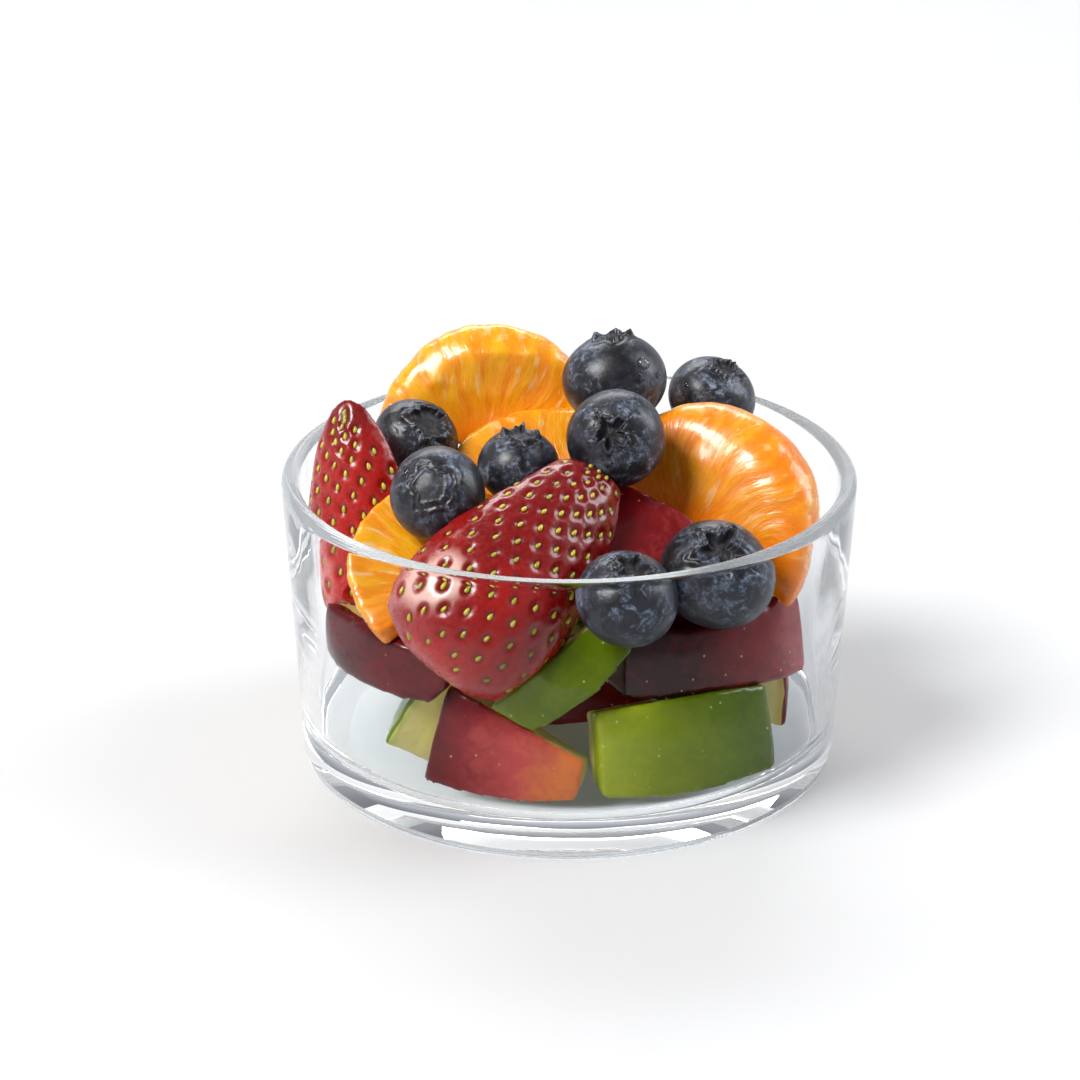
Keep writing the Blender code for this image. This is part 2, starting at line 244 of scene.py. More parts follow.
def addStage():
    scene = bpy.context.scene
    scene.view_settings.view_transform = "Standard"
    # light bounces many times within a thick glass wall before it leaves
    scene.cycles.max_bounces = 96
    scene.cycles.glossy_bounces = 64
    scene.cycles.transmission_bounces = 64

    bm = bmesh.new()
    bmesh.ops.create_grid(bm, x_segments=8, y_segments=8, size=stage["floorSize"] / 2)
    mesh = bpy.data.meshes.new("floor")
    bm.to_mesh(mesh)
    bm.free()
    floor = bpy.data.objects.new("floor", mesh)
    scene.collection.objects.link(floor)
    material, tree, shader = newMaterial("paleFloor")
    tone = mixColour(tree, grain(tree, 60.0), *stage["floorTones"])
    finishShader(tree, shader, {"Base Color": tone, "Roughness": 0.6})
    mesh.materials.append(material)

    world = bpy.data.worlds.new("studio")
    scene.world = world
    world.use_nodes = True
    tree = world.node_tree
    tree.nodes.clear()
    direction = addNode(tree, "TexCoord").outputs["Generated"]
    parts = addNode(tree, "SeparateXYZ", {0: direction})
    # bright low down at the back and sides, dimmer overhead and in front, which keeps contrast in the fruit
    height = softStep(tree, parts.outputs[2], 0.1, 0.6)
    depth = softStep(tree, parts.outputs[1], -0.8, -0.1, 0.75, 0.0)
    sky = mixColour(tree, maths(tree, "MAXIMUM", height, depth), stage["skyLow"], stage["skyHigh"])
    background = addNode(tree, "Background", {"Color": sky, "Strength": stage["worldStrength"]})
    output = addNode(tree, "OutputWorld")
    tree.links.new(background.outputs[0], output.inputs["Surface"])

    for name, lamp in lamps.items():
        light = bpy.data.lights.new(name, "AREA")
        light.shape = "RECTANGLE"
        light.size, light.size_y = lamp["size"]
        light.energy = lamp["power"]
        light.color = lamp["colour"]
        obj = bpy.data.objects.new(name, light)
        scene.collection.objects.link(obj)
        obj.location = lamp["place"]
        aim = Vector((0, 0, 0.035)) - Vector(lamp["place"])
        obj.rotation_mode = "QUATERNION"
        obj.rotation_quaternion = aim.to_track_quat("-Z", "Y")

    camera = bpy.data.cameras.new("camera")
    camera.lens = stage["lens"]
    camera.clip_start = 0.01
    obj = bpy.data.objects.new("camera", camera)
    scene.collection.objects.link(obj)
    lift = math.radians(stage["elevation"])
    back = Vector((0.0, -math.cos(lift), math.sin(lift))) * stage["distance"]
    obj.location = (Vector(stage["target"]) + back) * mm
    obj.rotation_euler = (math.radians(90) - lift, 0.0, 0.0)
    scene.camera = obj
    print("stage ready")


cupForm = {
    "wall": 2.8,
    "floor": 6.3,
    "fillet": 3.5,
    "footInset": 2.6,       # how much narrower the foot is than the rim
    "footRound": 2.0,
    "footRing": 5.0,
    "punt": 0.9,
    "wave": 0.09,           # unevenness of the pressed inner wall
    "steps": 192,
}


def arcPoints(centreX, centreZ, radius, start, end, count):
    turns = [math.radians(start + (end - start) * i / count) for i in range(count + 1)]
    return [(centreX + radius * math.cos(a), centreZ + radius * math.sin(a)) for a in turns]


def cupOutline():
    low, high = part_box("cup")
    rim = (high.x - low.x) / 2 / mm
    height = high.z / mm
    lip = cupForm["wall"] / 2
    foot = rim - cupForm["footInset"]
    slope = cupForm["footInset"] / (height - lip - cupForm["footRound"])
    floor, fillet = cupForm["floor"], cupForm["fillet"]
    inner = foot - cupForm["wall"] + slope * (floor + fillet - cupForm["footRound"])
    ringOuter = foot - cupForm["footRound"]
    ringInner = ringOuter - cupForm["footRing"]
    outline = [(0.0, floor), (inner * 0.45, floor), (inner * 0.8, floor)]
    outline += arcPoints(inner - fillet, floor + fillet, fillet, -90, 0, 12)
    wallTop = (rim - cupForm["wall"], height - lip)
    bottom = outline[-1]
    for i in range(1, 24):
        share = i / 24
        outline.append((bottom[0] + (wallTop[0] - bottom[0]) * share, bottom[1] + (wallTop[1] - bottom[1]) * share))
    outline += arcPoints(rim - lip, height - lip, lip, 180, 0, 16)
    outline += arcPoints(ringOuter, cupForm["footRound"], cupForm["footRound"], 0, -90, 8)
    outline += [(ringInner, 0.0), (ringInner - 4 * cupForm["punt"], cupForm["punt"])]
    outline += [(ringInner * 0.4, cupForm["punt"]), (0.0, cupForm["punt"])]
    return outline


def glassMaterial():
    material, tree, shader = newMaterial("clearGlass")
    ripple = bumpFrom(tree, grain(tree, 9.0, detail=1.0, stretch=(1.0, 1.0, 0.25)), 0.05, 0.35)
    finishShader(tree, shader, {
        "Base Color": (0.985, 0.993, 1.0, 1.0),
        "Roughness": 0.0,
        "IOR": 1.5,
        "Transmission Weight": 1.0,
        "Specular Tint": (0.2, 0.22, 0.25, 1.0),
        "Normal": ripple,
    })
    # seen straight on the wall only shows what is behind it, and at a slant it mirrors
    through = addNode(tree, "BsdfRefraction", {"Color": (0.985, 0.993, 1.0, 1.0), "Roughness": 0.0, "IOR": 1.5, "Normal": ripple})
    slant = softStep(tree, addNode(tree, "Fresnel", {"IOR": 1.5, "Normal": ripple}).outputs[0], 0.12, 0.45)
    # lamps and scattered light reach the fruit inside just once, as through real glass
    path = addNode(tree, "LightPath")
    clear = addNode(tree, "BsdfTransparent", {"Color": (0.96, 0.975, 0.985, 1.0)})
    glass = through.outputs[0]
    for share, other in ((slant, shader), (path.outputs["Is Shadow Ray"], clear), (path.outputs["Is Diffuse Ray"], clear)):
        both = addNode(tree, "MixShader", {0: share})
        tree.links.new(glass, both.inputs[1])
        tree.links.new(other.outputs[0], both.inputs[2])
        glass = both.outputs[0]
    output = next(n for n in tree.nodes if n.type == "OUTPUT_MATERIAL")
    tree.links.new(glass, output.inputs["Surface"])
    return material


def addCup():
    points = [(x * mm, 0.0, z * mm) for x, z in cupOutline()]
    mesh = bpy.data.meshes.new("cup_glass")
    mesh.from_pydata(points, [(i, i + 1) for i in range(len(points) - 1)], [])
    obj = bpy.data.objects.new("cup_glass", mesh)
    bpy.context.scene.collection.objects.link(obj)
    turn = obj.modifiers.new("Turn", "SCREW")
    turn.steps = turn.render_steps = cupForm["steps"]
    turn.use_merge_vertices = True
    turn.merge_threshold = 0.02 * mm
    obj.data = bpy.data.meshes.new_from_object(obj.evaluated_get(bpy.context.evaluated_depsgraph_get()))
    obj.modifiers.clear()
    bm = bmesh.new()
    bm.from_mesh(obj.data)
    bmesh.ops.recalc_face_normals(bm, faces=bm.faces)
    bm.to_mesh(obj.data)
    bm.free()
    points = coordinates(obj.data)
    radius = np.hypot(points[:, 0], points[:, 1])
    height = points[:, 2]
    inside = smooth01(height, cupForm["floor"] + 1, cupForm["floor"] + 8) * (1 - smooth01(height, 40, 46))
    inside *= radius < radius.max() - cupForm["wall"] * 0.75
    ring = np.column_stack([points[:, 0] / np.maximum(radius, 1), points[:, 1] / np.maximum(radius, 1), height / 60])
    wave = cupForm["wave"] * inside * noiseAt(ring, 0.22)
    points[:, :2] *= (1 + wave / np.maximum(radius, 1))[:, None]
    setCoordinates(obj.data, points)
    obj.data.shade_smooth()
    dress(obj, glassMaterial(), "glass", "cup")
    print("cup made")


berryForm = {
    "squat": 0.88,          # height as a share of width
    "segments": 128,
    "rings": 100,
    "lumps": 0.12,          # millimetres
}

# faces is the way the crown looks; the rest shapes the crown, as shares of the berry's radius:
# width of its dish, depth of the dish, how star-shaped it is, height of its points, and the folds lying round it
berries = {
    "blueberry_top": dict(faces=(-0.1, 0.2, 1.0), width=0.30, depth=0.14, star=0.12, points=0.10, folds=0.02),
    "blueberry_back_right": dict(faces=(0.35, -0.2, 0.9), width=0.28, depth=0.14, star=0.2, points=0.08, folds=0.05),
    "blueberry_middle": dict(faces=(-0.15, -0.85, 0.5), width=0.27, depth=0.24, star=0.3, points=0.05, folds=0.05),
    "blueberry_back_left": dict(faces=(0.45, -0.5, 0.75), width=0.40, depth=0.16, star=0.15, points=0.10, folds=0.04),
    "blueberry_left": dict(faces=(-0.17, -0.83, 0.55), width=0.34, depth=0.035, star=0.04, points=0.02, folds=0.05),
    "blueberry_small": dict(faces=(0.05, -0.05, 1.0), width=0.36, depth=0.12, star=0.1, points=0.12, folds=0.02),
    "blueberry_front": dict(faces=(0.2, -0.35, 0.9), width=0.30, depth=0.20, star=0.25, points=0.07, folds=0.05),
    "blueberry_right": dict(faces=(0.1, -0.5, 0.82), width=0.30, depth=0.22, star=0.28, points=0.07, folds=0.06),
    "blueberry_rear": dict(faces=(0.1, 0.6, 0.8), width=0.30, depth=0.16, star=0.18, points=0.10, folds=0.04),
    "blueberry_rear_left": dict(faces=(-0.5, 0.6, 0.5), width=0.32, depth=0.10, star=0.10, points=0.06, folds=0.06),
    "blueberry_rear_right": dict(faces=(0.6, 0.6, 0.4), width=0.28, depth=0.18, star=0.24, points=0.08, folds=0.04),
}


def berryMaterial():
    material, tree, shader = newMaterial("blueberrySkin")
    patches = softStep(tree, grain(tree, 3.4, 4.0, 0.6, distortion=0.5), 0.36, 0.64)
    skin = mixColour(tree, patches, rgb(20, 18, 20), rgb(44, 43, 51))
    cloud = softStep(tree, grain(tree, 2.6, 6.0, 0.68, distortion=0.9), 0.44, 0.68)
    speck = softStep(tree, grain(tree, 0.6, 4.0, 0.75), 0.40, 0.62, 0.15, 1.0)
    bloom = maths(tree, "MULTIPLY", cloud, speck)
    bloom = maths(tree, "MULTIPLY", bloom, attribute(tree, "bloom"))
    colour = mixColour(tree, bloom, skin, rgb(150, 164, 188))
    pores = softStep(tree, grain(tree, 0.9, 2.0, 0.5), 0.62, 0.72, 0.0, 0.55)
    colour = mixColour(tree, pores, colour, rgb(30, 28, 34))
    # the crown's dish is painted dark: its own dark tissue, plus painted shade in the hollow
    crownTone = mixColour(tree, grain(tree, 0.8, 3.0), rgb(12, 10, 12), rgb(64, 60, 64))
    colour = mixColour(tree, attribute(tree, "crownTissueAndShade"), colour, crownTone)
    rough = softStep(tree, maths(tree, "MAXIMUM", bloom, attribute(tree, "crownTissueAndShade")), 0.0, 0.8, 0.36, 0.62)
    height = maths(tree, "ADD", grain(tree, 0.5, 3.0, 0.6), maths(tree, "MULTIPLY", bloom, 0.4))
    finishShader(tree, shader, {
        "Base Color": colour,
        "Roughness": rough,
        "Specular IOR Level": 0.35,
        "Coat Weight": 0.08,
        "Coat Roughness": 0.2,
        "Sheen Weight": 0.04,
        "Sheen Roughness": 0.5,
        "Sheen Tint": rgb(150, 175, 215),
        "Normal": bumpFrom(tree, height, 0.06, 0.7),
    })
    return material


def addBerry(name, look, material):
    low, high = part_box(name)
    axes = pieceAxes(look["faces"])
    face = axes.col[2]
    squat = berryForm["squat"]
    half = (high - low) / 2 / mm
    radius = sum(half[i] / math.sqrt(1 - face[i] ** 2 * (1 - squat**2)) for i in range(3)) / 3
    seed = 7.3 * list(berries).index(name)

    bm = bmesh.new()
    bmesh.ops.create_uvsphere(bm, u_segments=berryForm["segments"], v_segments=berryForm["rings"], radius=1.0)
    crownTissueAndShadeValues, blooms = [], []
    for v in bm.verts:
        polar = math.pi * (math.acos(max(-1.0, min(1.0, v.co.z))) / math.pi) ** 1.45
        turn = math.atan2(v.co.y, v.co.x)
        ring = math.sin(polar)
        height = squat * math.cos(polar)
        around = Vector((math.cos(turn), math.sin(turn), 0.0))
        swirl = noise.noise(around * 1.3 + Vector((seed, 0.0, 3.0)))
        ragged = noise.noise(around * 4.5 + Vector((seed, 5.0, 0.0)))
        fold = noise.noise(around * (2.5 + 3.0 * ring) + Vector((0.0, seed, ring * 5)))
        fifth = 5 * (turn + 0.35 * swirl) + seed
        lobe = 0.5 + 0.5 * math.cos(fifth)
        star = look["width"] * (1 + look["star"] * (math.cos(fifth) + 0.8 * ragged) + 0.25 * swirl)
        reach = ring / star if polar < 1.5 else 9.0
        if reach < 1:
            height -= look["depth"] * (1 - reach**2) ** 0.6
            height += 0.3 * look["depth"] * math.exp(-((reach / 0.35) ** 2))      # scar in the middle
        rise = look["points"] * (0.25 + 0.9 * lobe**1.5 + 0.6 * swirl + 0.5 * ragged)
        height += rise * math.exp(-(((reach - 1.08 - 0.1 * ragged) / 0.14) ** 2))
        for place, amount in ((1.3, -0.6), (1.55 + 0.25 * fold, 0.8), (1.8 + 0.2 * swirl, -0.5)):
            height += amount * look["folds"] * (0.6 + fold) * math.exp(-(((reach - place) / 0.11) ** 2))
        body = Vector((ring * math.cos(turn), ring * math.sin(turn), height))
        lump = noise.noise(body * 1.6 + Vector((seed, 0, 0)))
        body *= 1 + berryForm["lumps"] / radius * lump * min(1.0, reach / 2)
        body *= 1 + 0.10 * look["folds"] * noise.noise(body * 7.0) * max(0.0, 1.0 - abs(reach - 1.2))
        v.co = body * radius * mm
        # darker the deeper the dish: the crown's own dark tissue plus painted shade in the hollow
        dark = min(1.0, max(0.0, (1.0 - reach) / 0.18)) * min(1.0, look["depth"] / 0.12)
        crownTissueAndShadeValues.append(dark)
        blooms.append(min(1.0, max(0.15, 0.55 + 1.1 * noise.noise(body * 1.1 + Vector((0, seed, 0))))))
    mesh = bpy.data.meshes.new(name + "_skin")
    bm.to_mesh(mesh)
    bm.free()
    setAttribute(mesh, "crownTissueAndShade", crownTissueAndShadeValues)
    setAttribute(mesh, "bloom", blooms)
    mesh.shade_smooth()
    obj = bpy.data.objects.new(name + "_skin", mesh)
    bpy.context.scene.collection.objects.link(obj)
    obj.matrix_world = Matrix.Translation((low + high) / 2) @ axes.to_4x4()
    dress(obj, material, "blueberry", name)


# water beads: the berry, the way out from its middle, and the bead's radius in millimetres
drops = [
    ("blueberry_top", (0.55, -0.61, 0.57), 1.2),
    ("blueberry_top", (0.43, -0.83, 0.36), 0.85),
    ("blueberry_top", (0.81, -0.52, 0.27), 0.6),
    ("blueberry_top", (-0.40, 0.70, 0.60), 0.8),
    ("blueberry_back_right", (-0.62, -0.60, 0.50), 0.5),
    ("blueberry_back_right", (0.30, -0.70, 0.65), 0.4),
    ("blueberry_left", (-0.70, -0.30, 0.65), 0.6),
    ("blueberry_rear", (0.30, 0.80, 0.50), 0.7),
]


def waterMaterial():
    material, tree, shader = newMaterial("waterBead")
    finishShader(tree, shader, {
        "Base Color": mixColour(tree, grain(tree, 0.8), (0.94, 0.97, 1.0, 1.0), (1.0, 1.0, 1.0, 1.0)),
        "Roughness": 0.02,
        "IOR": 1.33,
        "Transmission Weight": 1.0,
    })
    return material


def addDrops():
    bm = bmesh.new()
    for berry, way, radius in drops:
        skin = bpy.data.objects[berry + "_skin"]
        surface = BVHTree.FromObject(skin, bpy.context.evaluated_depsgraph_get())
        out = (skin.matrix_world.to_3x3().inverted() @ Vector(way)).normalized()
        spot, normal = surface.ray_cast(out * 0.02, -out)[:2]
        spot, normal = skin.matrix_world @ spot, skin.matrix_world.to_3x3() @ normal
        turn = normal.to_track_quat("Z", "Y").to_matrix().to_4x4()
        size = Matrix.Diagonal((radius * mm, radius * 0.9 * mm, radius * 0.62 * mm, 1.0))
        bmesh.ops.create_uvsphere(
            bm, u_segments=24, v_segments=16, radius=1.0, matrix=Matrix.Translation(spot) @ turn @ size)
    mesh = bpy.data.meshes.new("water_beads")
    bm.to_mesh(mesh)
    bm.free()
    mesh.shade_smooth()
    obj = bpy.data.objects.new("water_beads", mesh)
    bpy.context.scene.collection.objects.link(obj)
    dress(obj, waterMaterial(), "glass")
    print(len(drops), "water beads made")


segmentForm = {
    "voxel": 0.36,
    "sac": (1.35, 8.0, 3.0),   # width, length and depth of a juice sac
    "sacHeight": 0.10,
    "wrinkle": 0.22,
}

# deep runs from yellow orange, 0, to deep orange, 1; relief is how far the juice sacs show through the skin, and how
# strongly the pale membrane streaks with their painted highlight show
segments = {
    "mandarin_back": dict(faces=(-0.05, -0.9, 0.42), along=(1.0, 0.0, -0.1), deep=0.05, relief=1.0),
    "mandarin_right": dict(faces=(-0.35, -0.75, 0.56), along=(0.76, -0.52, -0.36), deep=0.55, relief=0.7),
    "mandarin_left": dict(faces=(0.1, -0.75, 0.65), along=(0.72, 0.55, 0.5), deep=0.1, relief=1.0),
    "mandarin_rear": dict(faces=(0.45, 0.85, 0.1), along=(0.85, -0.45, 0.25), deep=0.4, relief=0.9),
    "mandarin_under": dict(faces=(0.0, -0.3, 1.0), along=(1.0, 0.1, 0.0), deep=0.25, relief=0.8),
}


def segmentMaterial():
    material, tree, shader = newMaterial("mandarinFlesh")
    fan = addNode(tree, "Attribute", attribute_name="fan").outputs["Vector"]
    streaks = []
    for width, length in ((1.1, 7.0), (0.5, 3.5)):
        place = addNode(tree, "Mapping", {"Vector": fan, "Scale": (1 / width, 1 / length, 1 / (2 * width))}).outputs[0]
        inputs = {"Vector": place, "Scale": 1.0, "Detail": 3.0, "Roughness": 0.6, "Distortion": 0.25}
        streaks.append(addNode(tree, "TexNoise", inputs).outputs[0])
    # painted light and shade on the juice sacs: the raised sac tops are painted lighter and the grooves between them
    # darker
    light = mixColour(tree, attribute(tree, "ridge"), rgb(250, 158, 4), rgb(255, 184, 14))
    dark = mixColour(tree, attribute(tree, "ridge"), rgb(240, 104, 2), rgb(250, 134, 6))
    colour = mixColour(tree, attribute(tree, "deep"), light, dark)
    colour = mixColour(tree, softStep(tree, streaks[1], 0.3, 0.48, 0.25, 0.0), colour, rgb(238, 116, 2))
    # pale streaks: partly the whitish membrane over the sacs, partly a painted highlight on the wet sacs
    filmAndHighlight = softStep(tree, streaks[0], 0.56, 0.70, 0.0, 0.85)
    filmAndHighlight = maths(tree, "MULTIPLY", filmAndHighlight, attribute(tree, "relief"))
    colour = mixColour(tree, filmAndHighlight, colour, rgb(254, 208, 140))
    height = maths(tree, "ADD", streaks[0], maths(tree, "MULTIPLY", streaks[1], 0.5))
    finishShader(tree, shader, {
        "Base Color": colour,
        "Roughness": softStep(tree, streaks[1], 0.35, 0.7, 0.22, 0.40),
        "Subsurface Weight": 0.3,
        "Subsurface Radius": (1.0, 0.45, 0.12),
        "Subsurface Scale": 2.0 * mm,
        "Coat Weight": 0.3,
        "Coat Roughness": 0.12,
        "Normal": bumpFrom(tree, height, 0.25, 0.7),
    })
    return material


def addSegment(name, look, material):
    axes = pieceAxes(look["faces"], look["along"])
    obj = fineCopy(name, axes, segmentForm["voxel"], 70, 4, 0.15)
    mesh = obj.data
    points = coordinates(mesh)
    normals = vertexNormals(mesh)
    seed = 11.0 * list(segments).index(name)
    # the sacs fan out from a point just past the thin inner edge
    outward = points[:, 1] - points[:, 1].min() + 4.0
    angle = np.arctan2(points[:, 0], outward) + 0.1 * noiseAt(points, 7.0, seed)
    fan = np.column_stack([angle * 15.0, np.hypot(points[:, 0], outward), points[:, 2] + seed])
    sacs = noiseAt(fan / segmentForm["sac"], 1.0)
    ridge = smooth01(sacs, -0.35, 0.25)
    relief = look["relief"] * smooth01(outward, 6.0, 13.0)
    wrinkles = noiseAt(points, 7.0, seed + 5) + relief * noiseAt(points, 3.2, seed + 1)
    height = relief * segmentForm["sacHeight"] * (ridge - 0.7) + segmentForm["wrinkle"] * wrinkles
    setCoordinates(mesh, points + normals * height[:, None])
    # the ridge share paints the sac tops lighter and the grooves darker, as painted shade
    setAttribute(mesh, "ridge", 1 + relief * (ridge - 1))
    setAttribute(mesh, "relief", relief)
    layer = mesh.attributes.new("fan", "FLOAT_VECTOR", "POINT")
    layer.data.foreach_set("vector", fan.astype(np.float32).ravel())
    deep = look["deep"] + 0.3 * noiseAt(points, 9.0, seed + 2) + 0.8 * (1 - smooth01(outward, 5.0, 14.0))
    setAttribute(mesh, "deep", np.clip(deep, 0, 1))
    dress(obj, material, "mandarin", name)
    print(name, "made with", len(mesh.polygons), "faces")


strawberryForm = {
    "voxel": 0.30,
    "dimple": 0.40,         # depth under a seed
    "dimpleWidth": (0.95, 0.75),     # along the fruit and across it
    "seedSize": (0.62, 0.34, 0.30),  # half length, half width, half height
    "tipSpacing": 2.8,
    "hullSpacing": 4.3,
}

# the pale share is partly the fruit's own pale skin near the hull and partly a painted highlight on the dimple rims
strawberries = {
    "strawberry_front": dict(faces=(0.19, -0.8, 0.58), along=(0.62, 0.55, 0.55), bright=0.2, paleAndHighlight=0.85),
    "strawberry_left": dict(faces=(-0.42, -0.9, 0.1), along=(-0.14, 0.1, 1.0), bright=0.7, paleAndHighlight=0.3),
    "strawberry_rear": dict(faces=(-0.45, 0.85, 0.2), along=(0.5, 0.1, 0.8), bright=0.5, paleAndHighlight=0.6),
}


def strawberryMaterial():
    material, tree, shader = newMaterial("strawberrySkin")
    pitShade = attribute(tree, "pitShade")
    bright = attribute(tree, "bright")
    dark = mixColour(tree, grain(tree, 5.0, 4.0), rgb(110, 8, 8), rgb(138, 12, 10))
    light = mixColour(tree, grain(tree, 4.0, 4.0), rgb(196, 20, 10), rgb(218, 34, 18))
    skin = mixColour(tree, bright, dark, light)
    skin = mixColour(tree, softStep(tree, grain(tree, 0.7, 4.0, 0.65), 0.5, 0.75, 0.0, 0.22), skin, rgb(206, 52, 48))
    # pale skin near the hull, partly a painted highlight on the rims round the dimples
    skin = mixColour(tree, attribute(tree, "paleAndHighlight"), skin, rgb(246, 200, 186))
    # painted shade: the dimples round the seeds are darkened
    skin = mixColour(tree, maths(tree, "MULTIPLY", pitShade, 0.6), skin, rgb(96, 4, 8))
    flesh = mixColour(tree, attribute(tree, "core"), rgb(206, 60, 44), rgb(248, 214, 196))
    flesh = mixColour(tree, softStep(tree, grain(tree, 1.4, 4.0), 0.4, 0.7, 0.0, 0.4), flesh, rgb(190, 34, 30))
    colour = mixColour(tree, attribute(tree, "cut"), skin, flesh)
    finishShader(tree, shader, {
        "Base Color": colour,
        "Roughness": softStep(tree, grain(tree, 0.9, 3.0), 0.3, 0.7, 0.2, 0.36),
        "Subsurface Weight": 0.15,
        "Subsurface Radius": (1.0, 0.2, 0.15),
        "Subsurface Scale": 1.2 * mm,
        "Specular IOR Level": 0.35,
        "Coat Weight": 0.3,
        "Coat Roughness": 0.12,
        "Normal": bumpFrom(tree, grain(tree, 0.45, 3.0, 0.6), 0.06, 0.6),
    })
    return material


def seedMaterial():
    material, tree, shader = newMaterial("strawberrySeed")
    colour = mixColour(tree, grain(tree, 0.7, 3.0), rgb(172, 148, 22), rgb(232, 216, 60))
    colour = mixColour(tree, softStep(tree, grain(tree, 9.0), 0.45, 0.6, 0.0, 0.6), colour, rgb(132, 138, 30))
    finishShader(tree, shader, {
        "Base Color": colour,
        "Roughness": softStep(tree, grain(tree, 0.4), 0.3, 0.7, 0.3, 0.5),
        "Coat Weight": 0.3,
        "Normal": bumpFrom(tree, grain(tree, 0.3), 0.04, 0.5),
    })
    return material


# seed places on a golden spiral about the strawberry's axis, closer together near the tip
def seedPlaces(points, tree):
    low, high = points.min(axis=0), points.max(axis=0)
    length = high[0] - low[0]
    width = (high[1] - low[1]) / 2
    axisY = (high[1] + low[1]) / 2
    axisZ = low[2] + 0.3 * (high[2] - low[2])
    shares = np.linspace(0.02, 0.99, 400)
    girth = 2 * math.pi * width * (1 - 0.62 * shares**1.3)
    spacing = strawberryForm["hullSpacing"] + (strawberryForm["tipSpacing"] - strawberryForm["hullSpacing"]) * shares
    count = np.cumsum(girth / spacing**2 * length * (shares[1] - shares[0]))
    places = []
    for k in range(int(count[-1])):
        share = np.interp(k + 0.5, count, shares)
        turn = k * math.radians(137.508)
        if math.sin(turn) < -0.15:
            continue
        start = Vector((low[0] + share * length, axisY, axisZ))
        aim = Vector((0.0, math.cos(turn) * width, math.sin(turn) * (high[2] - low[2]))).normalized()
        if share > 0.9:
            aim = (aim + Vector((share * 8 - 7.2, 0, 0))).normalized()
        hit, normal = tree.ray_cast((start + aim * 40) * mm, -aim)[:2]
        if hit is not None and normal.z > -0.5:
            places.append((hit / mm, normal))
    return places


def addSeeds(name, places, owner, material):
    bm = bmesh.new()
    for index, (spot, normal) in enumerate(places):
        jitter = noise.noise(spot * 0.9)
        along = Vector((1.0, 0.35 * jitter, 0.0))
        along = (along - along.dot(normal) * normal).normalized()
        turn = Matrix((along, normal.cross(along), normal)).transposed().to_4x4()
        size = Matrix.Diagonal((*(Vector(strawberryForm["seedSize"]) * (1 + 0.15 * jitter) * mm), 1.0))
        sunk = spot - normal * (strawberryForm["dimple"] * 0.78)
        made = bmesh.ops.create_uvsphere(bm, u_segments=12, v_segments=8, radius=1.0)
        for v in made["verts"]:
            v.co.yz = v.co.yz * (1 - 0.3 * v.co.x)      # pointed towards the tip
        bmesh.ops.transform(bm, verts=made["verts"], matrix=Matrix.Translation(sunk * mm) @ turn @ size)
    mesh = bpy.data.meshes.new(name + "_seeds")
    bm.to_mesh(mesh)
    bm.free()
    mesh.shade_smooth()
    obj = bpy.data.objects.new(name + "_seeds", mesh)
    bpy.context.scene.collection.objects.link(obj)
    obj.matrix_world = owner.matrix_world
    dress(obj, material, "strawberry")


def addStrawberry(name, look, skinMaterial, seedsMaterial):
    axes = pieceAxes(look["faces"], look["along"])
    obj = fineCopy(name, axes, strawberryForm["voxel"], 65, 5, 0.15)
    mesh = obj.data
    points = coordinates(mesh)
    normals = vertexNormals(mesh)
    seed = 5.0 * list(strawberries).index(name)
    surface = BVHTree.FromObject(obj, bpy.context.evaluated_depsgraph_get())
    places = seedPlaces(points, surface)
    tree = KDTree(len(places))
    for index, (spot, normal) in enumerate(places):
        tree.insert(spot, index)
    tree.balance()
    cut = smooth01(-normals[:, 2], 0.55, 0.85)
    spots = np.array([spot for spot, normal in places])
    offset = points - spots[[tree.find(p)[1] for p in points]]
    lengthwise, across = strawberryForm["dimpleWidth"]
    distance = np.sqrt((offset[:, 0] / lengthwise) ** 2 + (offset[:, 1] ** 2 + offset[:, 2] ** 2) / across**2)
    near = np.exp(-(distance**2))
    lip = np.exp(-(((distance - 1.9) / 0.6) ** 2))
    height = (0.03 * lip - strawberryForm["dimple"] * near) * (1 - cut)
    height += 0.30 * noiseAt(points, 9.0, seed) + 0.04 * noiseAt(points, 1.0, seed)
    setCoordinates(mesh, points + normals * height[:, None])
    # painted shade in the dimples round the seeds
    setAttribute(mesh, "pitShade", smooth01(near, 0.05, 0.6) * (1 - cut))
    run = (points[:, 0] - points[:, 0].min()) / np.ptp(points[:, 0])      # 0 at the hull, 1 at the tip
    side = points[:, 1] / (np.ptp(points[:, 1]) / 2)
    # the pale patch near the hull is partly the fruit's own pale skin and partly a painted highlight on the dimple rims
    patch = np.hypot((run - 0.2) / 0.13, (side - 0.62) / 0.34) + 0.4 * noiseAt(points, 5.0, seed + 8)
    paleAndHighlight = (1 - smooth01(patch, 0.5, 1.2)) * smooth01(distance, 1.3, 1.9)
    setAttribute(mesh, "paleAndHighlight", paleAndHighlight * look["paleAndHighlight"] * (1 - cut))
    setAttribute(mesh, "cut", cut)
    bright = look["bright"] + 0.5 * noiseAt(points, 12.0, seed + 3) + 0.9 * (0.35 - run)
    setAttribute(mesh, "bright", np.clip(bright, 0, 1))
    middle = np.hypot(points[:, 1] / (np.ptp(points[:, 1]) / 2), points[:, 0] / (np.ptp(points[:, 0]) / 2))
    setAttribute(mesh, "core", 1 - smooth01(middle, 0.25, 0.6))
    dress(obj, skinMaterial, "strawberry", name)
    addSeeds(name, places, obj, seedsMaterial)
    print(name, "made with", len(mesh.polygons), "faces and", len(places), "seeds")


appleForm = {
    "voxel": 0.5,
    "skinFacing": 0.82,     # a face that looks this nearly along the chunk's Z is skin
}
